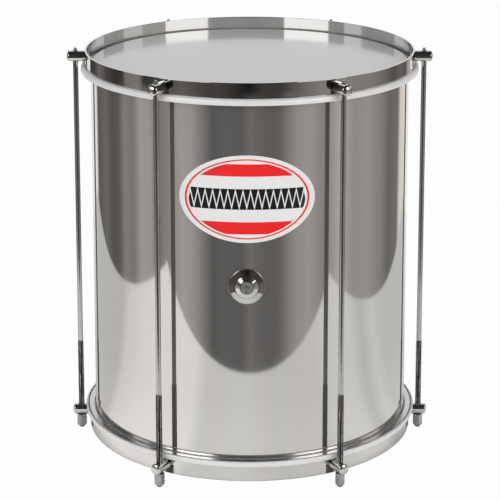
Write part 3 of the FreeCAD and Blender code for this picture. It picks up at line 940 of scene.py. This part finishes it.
@dataclass
class Vent:
    """The stepped vent on the shell's front, with its plug; the washer inside is a fitting of its
    own.
    """

    sizes: Sizes
    front: float = math.radians(-91.0)
    flange: float = 0.0138
    cone: float = 0.0132
    ring: float = 0.0092
    shelf: float = 0.0088
    mouth: float = 0.0053
    bore: float = 0.0048
    tube: float = 0.006
    fit: float = 0.0001
    flange_height: float = 0.0012
    ring_height: float = 0.0022
    mouth_height: float = 0.0038
    plug_height: float = 0.0041
    plug_dish: float = 0.0034
    dish_depth: float = 0.0004

    def placed(self, surface: Surface) -> Surface:
        """Lays a piece turned about Z onto the front, its axis pointing outwards."""
        lie = np.array([[0, 0, 1], [0, 1, 0], [-1, 0, 0]])
        low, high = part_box("vent_grommet")
        return surface.moved(turn_about_z(self.front) @ lie, (0, 0, (low[2] + high[2]) / 2))

    def build(self, finishes: Finishes) -> None:
        """Makes the grommet and the plug, both turned about the vent's axis."""
        face = self.sizes.shell_radius
        inside = -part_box("vent_grommet")[1][1]
        sink = face - self.flange ** 2 / (2 * face) - self.fit
        corners = np.array([
            (self.bore, inside), (self.tube, inside), (self.tube, sink), (self.flange, sink),
            (self.flange, face + self.flange_height), (self.cone, face + self.flange_height),
            (self.ring, face + self.ring_height), (self.shelf, face + self.ring_height),
            (self.mouth, face + self.mouth_height), (self.bore, face + self.mouth_height)])
        radii = (0, 0, 0, 0.0003, 0.0010, 0.0003, 0.0004, 0.0004, 0.0003, 0)
        rings = Surface.turned(ease(corners, radii), 192)
        self.placed(rings).piece("vent_rings", finishes.vent, Body.DRUM.value, "vent_grommet")
        top, stud = face + self.plug_height, self.bore - self.fit
        corners = np.array([
            (0, inside), (stud, inside), (stud, top), (self.plug_dish, top),
            (self.plug_dish - 0.0002, top - self.dish_depth), (0, top - self.dish_depth * 0.6)])
        outline = ease(corners, (0, 0.0003, 0.0005, 0.0003, 0.0004, 0), closed=False)
        plug = Surface.turned(outline, 96, poles=True)
        self.placed(plug).piece("vent_plug_stud", finishes.plug, Body.DRUM.value, "vent_plug")


@dataclass
class Badge:
    """A thin oval plate bowed round the shell, with an eased rim."""

    sizes: Sizes
    front: float = math.radians(-91.0)
    rise: float = 0.0006
    rim: float = 0.0007
    fit: float = 0.00005
    middle: float = 0.02
    rim_start: float = 0.2
    rim_rings: int = 8
    rings: int = 40
    columns: int = 200

    def build(self, finishes: Finishes) -> None:
        """Makes the plate.

        In the flat the point at (s, t) is s (a cos t, b sin t); it is then wound round the shell,
        and its rise falls to nothing over the rim as a quarter circle.
        """
        low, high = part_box("badge")
        half_width, half_height = (high[0] - low[0]) / 2, (high[2] - low[2]) / 2
        level, rim = (high[2] + low[2]) / 2, self.rim / half_height
        base = self.sizes.shell_radius + self.fit
        rise = min(-low[1] - base, self.rise)
        turn = np.linspace(self.rim_start, RIGHT_ANGLE, self.rim_rings)
        s = np.concatenate([np.linspace(self.middle, 1 - rim, self.rings - self.rim_rings),
                            1 - rim * (1 - np.sin(turn))])[:, None]
        angle = np.arange(self.columns) * FULL_TURN / self.columns
        across = s * half_width * np.cos(angle)
        up = s * half_height * np.sin(angle)
        lift = rise * np.sqrt(1 - (1 - np.clip((1 - s) / rim, 0, 1)) ** 2)

        def wound(height: np.ndarray | float) -> np.ndarray:
            """Points of the flat plate wound round the shell at a height above it."""
            radius = base + height
            turned = np.arcsin(across / self.sizes.shell_radius) + self.front
            return np.stack([radius * np.cos(turned), radius * np.sin(turned), up + level], -1)

        plate = Surface.capped(np.concatenate([wound(lift + SKIN), wound(0.0)[::-1]]))
        thing = plate.piece("badge_plate", finishes.enamel, Body.DRUM.value, "badge")
        flat = np.stack([across / half_width, up / half_height], -1)
        flat = np.concatenate([flat, flat[::-1]]).reshape(-1, 2)
        loops = np.empty(len(thing.data.loops), int)
        thing.data.loops.foreach_get("vertex_index", loops)
        layer = thing.data.uv_layers.new(name="face")
        layer.data.foreach_set("uv", flat[loops].ravel())


@dataclass
class Fitting:
    """A small solid with a hole, kept in its own shape and shaded smooth."""

    node: str
    body: str
    finish: str
    grain: int = 7

    def build(self, finishes: Finishes) -> None:
        """Joins the solid's loose triangles where their corners agree, and makes the piece."""
        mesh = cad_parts[self.node].data
        points = np.empty(len(mesh.vertices) * 3)
        mesh.vertices.foreach_get("co", points)
        corners = np.empty(len(mesh.loops), int)
        mesh.loops.foreach_get("vertex_index", corners)
        points = points.reshape(-1, 3).round(self.grain)
        points, same = np.unique(points, axis=0, return_inverse=True)
        faces = same.ravel()[corners].reshape(-1, 3)
        whole = (faces != np.roll(faces, 1, axis=1)).all(axis=1)
        surface = Surface(points, faces[whole].tolist())
        surface.piece(f"{self.node}_piece", getattr(finishes, self.finish), self.body, self.node)


class Drum:
    """The whole drum: its two ends, shell, rods, nuts, vent and badge."""

    def __init__(self) -> None:
        """Reads the sizes and makes the finishes."""
        self.sizes = Sizes.from_frame()
        self.finishes = Finishes(self.sizes)

    def build(self) -> None:
        """Builds every piece in order."""
        parts = [Shell(self.sizes)]
        for end in End:
            parts += [form(self.sizes, end) for form in (Counterhoop, FleshHoop, Head)]
            parts += [Fitting(f"{end.value}_ear_{number}", end.body.value, "ear")
                      for number in range(1, RODS + 1)]
        for number in range(1, RODS + 1):
            parts += [TensionRod(self.sizes, number), TuningNut(self.sizes, number)]
        parts += [Vent(self.sizes), Badge(self.sizes),
                  Fitting("vent_backing_washer", Body.DRUM.value, "channel")]
        for part in parts:
            part.build(self.finishes)


# The studio


@dataclass
class Studio:
    """A white table and sweep in a dark room, with a soft box on each side of the viewer."""

    left: float = -0.553
    right: float = 0.506
    front: float = -0.376
    back: float = 0.60
    far: float = 12.0
    room_radius: float = 3.0
    room_sides: int = 96
    room_low: float = -3.0
    room_high: float = 1.6
    skirting: tuple = (-0.362, -0.35)
    camera_distance: float = 1.57336
    camera_height: float = 0.64493
    camera_pitch: float = 12.011
    lens: float = 144.897
    shift_x: float = 0.00046
    shift_y: float = -0.37807
    wall_greys: tuple = (
        (-180, 0.60), (-146, 0.50), (-142, 0.04), (-133, 0.07), (-125, 0.17), (-116, 0.08),
        (-105, 0.04), (-96, 0.035), (-92, 0.22), (-80, 0.21), (-76, 0.03), (-60, 0.07), (-46, 0.12),
        (-30, 0.06), (-20, 0.07), (-6, 0.02), (0, 0.005), (8, 0.05), (22, 0.05), (34, 0.14),
        (50, 0.26), (90, 0.24), (106, 0.16), (116, 0.09), (125, 0.15), (135, 0.10), (139, 0.35),
        (146, 0.50), (180, 0.60))
    ground_greys: tuple = (
        (-180, 0.80), (-143, 0.70), (-140, 0.05), (-125, 0.10), (-114, 0.03), (-106, 0.05),
        (-100, 0.19), (-90, 0.15), (-83, 0.33), (-74, 0.31), (-67, 0.14), (-58, 0.24), (-48, 0.34),
        (-40, 0.28), (-26, 0.03), (-18, 0.05), (-6, 0.04), (0, 0.10), (12, 0.05), (20, 0.06),
        (33, 0.26), (42, 0.31), (53, 0.20), (66, 0.42), (78, 0.26), (92, 0.29), (108, 0.19),
        (117, 0.09), (132, 0.13), (137, 0.70), (180, 0.80))
    # The table's greys by direction as reflections see it: painted light and shade.
    paper_greys: tuple = (
        (-180, 0.92), (-150, 0.72), (-134, 0.50), (-94, 0.50), (-86, 0.67), (-60, 0.80),
        (-33, 0.78), (-26, 0.60), (0, 0.62), (15, 0.56), (40, 0.58), (56, 0.66), (68, 0.62),
        (76, 0.50), (87, 0.62), (99, 0.53), (134, 0.53), (150, 0.74), (180, 0.92))
    boxes: tuple = (
        ("box_left", -62, -26, 5, 30, 2.1), ("box_far_left", -92, -76, 5, 30, 0.8),
        ("box_right", 32, 67, 5, 30, 2.1), ("box_far_right", 88, 108, 5, 30, 0.8))
    box_reach: float = 1.7
    box_level: float = 0.3
    box_columns: int = 9
    lamp_spots: tuple = (("lamp_left", (-1.1, -1.25, 0.95)), ("lamp_right", (1.25, -1.1, 0.95)))
    lamp_size: float = 0.8
    lamp_power: float = 8.0
    lamp_aim: tuple = (0, 0, 0.15)

    def stand(self, name: str, points: list, faces: list, material: bpy.types.Material,
              reflected_only: bool = True) -> None:
        """Puts a piece of the stage in place.

        Args:
            name: The object's name.
            points: Its corners.
            faces: Its faces.
            material: Its material.
            reflected_only: Whether only reflections see it.
        """
        thing = mesh_object(name, points, faces, material)
        if reflected_only:
            thing.visible_camera = thing.visible_diffuse = thing.visible_shadow = False

    def glow(self, name: str, colour: tuple, strength: float) -> bpy.types.Material:
        """A plain glowing surface."""
        material, nodes = blank_material(name)
        light = nodes.add("Emission", {"Color": opaque(colour), "Strength": strength})
        return nodes.finish(material, light)

    def floor(self) -> None:
        """The floor.

        It is white for the camera. For reflections it is a glowing table with an edge, tinted a
        little by direction, with greys by direction that are painted light and shade, and a painted
        shadow close to the drum; beyond the edge they see the room.
        """
        material, nodes = blank_material("table")
        place = nodes.place()
        split = nodes.add("SeparateXYZ", {0: place})
        inside = nodes.math("MULTIPLY", nodes.between(split.outputs[0], self.left, self.right),
                            nodes.math("GREATER_THAN", split.outputs[1], self.front))
        way = nodes.add("VectorMath", {0: place}, operation="NORMALIZE").outputs[0]
        drift = nodes.add("TexNoise", {"Vector": way, "Scale": 5.5, "Detail": 0.0})
        warmth = nodes.mix(nodes.span(drift.outputs[0], 0.35, 0.65, 0.0, 1.0),
                           (1.0, 0.955, 0.93, 1.0), (0.97, 1.0, 0.965, 1.0))
        tint = nodes.mix(1.0, nodes.bands(place, self.paper_greys, WHITE[:3]), warmth,
                         blend="MULTIPLY")
        # Painted shadow on the table as reflections see it: darker close to the drum, with a
        # painted brightening a little further out.
        away = nodes.add("VectorMath", {0: place}, operation="LENGTH").outputs["Value"]
        near = nodes.math("MULTIPLY", nodes.span(away, 0.132, 0.155, 0.40, 1.0),
                          nodes.span(away, 0.17, 0.32, 1.12, 1.0))
        paper = nodes.add("Emission", {"Color": tint, "Strength": near})
        beyond = nodes.add("BsdfTransparent", {"Color": WHITE})
        mirrored = nodes.add("MixShader", {0: inside, 1: beyond.outputs[0], 2: paper.outputs[0]})
        dull = nodes.add("BsdfDiffuse", {"Color": (0.9, 0.9, 0.9, 1.0)})
        plain = nodes.add("Emission", {"Color": WHITE, "Strength": 1.0})
        seen = nodes.add("MixShader", {0: 0.97, 1: dull.outputs[0], 2: plain.outputs[0]})
        glossy = nodes.add("LightPath").outputs["Is Glossy Ray"]
        chosen = nodes.add("MixShader", {0: glossy, 1: seen.outputs[0], 2: mirrored.outputs[0]})
        far = self.far
        self.stand("floor", [(-far, -far, 0), (far, -far, 0), (far, far, 0), (-far, far, 0)],
                   [(0, 1, 2, 3)], nodes.finish(material, chosen), reflected_only=False)

    def room(self) -> None:
        """The room: a tall ring of wall over the ground, their greys changing with direction."""
        turns = np.arange(self.room_sides) * FULL_TURN / self.room_sides
        ring = np.stack([np.cos(turns), np.sin(turns)], -1) * self.room_radius
        points = np.concatenate([np.c_[ring, np.full(self.room_sides, level)]
                                 for level in (self.room_low, self.room_high)])
        material, nodes = blank_material("room")
        place = nodes.place()
        level = nodes.add("SeparateXYZ", {0: place}).outputs[2]
        warmth = (1.0, 0.93, 0.87)
        colour = nodes.mix(nodes.span(level, *self.skirting, 0.0, 1.0),
                           nodes.bands(place, self.ground_greys, warmth),
                           nodes.bands(place, self.wall_greys, warmth))
        light = nodes.add("Emission", {"Color": colour, "Strength": 1.0})
        faces = grid_faces(2, self.room_sides, False, True)
        self.stand("room", points.tolist(), faces.tolist(), nodes.finish(material, light))

    def soft_boxes(self) -> None:
        """The soft boxes as reflections see them: curved panels round the drum."""
        reach, columns = self.box_reach, self.box_columns
        faces = grid_faces(2, columns, False, False).tolist()
        for name, start, end, low, high, strength in self.boxes:
            turns = np.radians(np.linspace(start, end, columns))
            ring = np.stack([np.sin(turns), -np.cos(turns)], -1) * reach
            levels = [self.box_level + reach * math.tan(math.radians(tilt)) for tilt in (low, high)]
            points = np.concatenate([np.c_[ring, np.full(columns, level)] for level in levels])
            self.stand(name, points.tolist(), faces,
                       self.glow(name, (1.0, 0.99, 0.98), strength))

    def lamps(self) -> None:
        """The lamps that light dull surfaces; reflections see the soft boxes in their place."""
        for name, spot in self.lamp_spots:
            data = bpy.data.lights.new(name, "AREA")
            data.size = self.lamp_size
            data.energy = self.lamp_power
            lamp = in_scene(name, data)
            lamp.location = spot
            aim = Vector(self.lamp_aim) - Vector(spot)
            lamp.rotation_euler = aim.to_track_quat("-Z", "Y").to_euler()
            lamp.visible_glossy = False

    def sky(self) -> None:
        """The world: white to the camera, dark to reflections, an even grey to dull surfaces."""
        world = bpy.data.worlds.new("studio")
        bpy.context.scene.world = world
        world.use_nodes = True
        world.node_tree.nodes.clear()
        nodes = Nodes(world.node_tree)
        path = nodes.add("LightPath")
        seen = nodes.math("MAXIMUM", path.outputs["Is Camera Ray"],
                          path.outputs["Is Transmission Ray"])
        base = nodes.mix(path.outputs["Is Glossy Ray"], (0.45, 0.45, 0.45, 1.0),
                         (0.03, 0.028, 0.027, 1.0))
        colour = nodes.mix(seen, base, WHITE)
        background = nodes.add("Background", {"Color": colour, "Strength": 1.0})
        nodes.link(background.outputs[0], nodes.add("OutputWorld").inputs[0])

    def camera(self) -> None:
        """The camera, on the drum's front line and looking down at it."""
        data = bpy.data.cameras.new("view")
        data.lens = self.lens
        data.sensor_width = 36.0
        data.shift_x, data.shift_y = self.shift_x, self.shift_y
        camera = in_scene("view", data)
        camera.location = (0.0, -self.camera_distance, self.camera_height)
        camera.rotation_euler = (RIGHT_ANGLE - math.radians(self.camera_pitch), 0, 0)
        bpy.context.scene.camera = camera

    def build(self) -> None:
        """Sets the stage."""
        bpy.context.scene.view_settings.view_transform = "Standard"
        self.floor()
        high = self.room_high
        self.stand("sweep", [(self.left, self.back, 0), (self.right, self.back, 0),
                             (self.right, self.back, high), (self.left, self.back, high)],
                   [(0, 1, 2, 3)], self.glow("sweep", (0.93, 0.925, 0.92), 0.9))
        self.room()
        self.soft_boxes()
        self.lamps()
        self.sky()
        self.camera()


def main() -> None:
    """Builds the drum and its stage."""
    Studio().build()
    Drum().build()


if __name__ == "__main__":
    main()
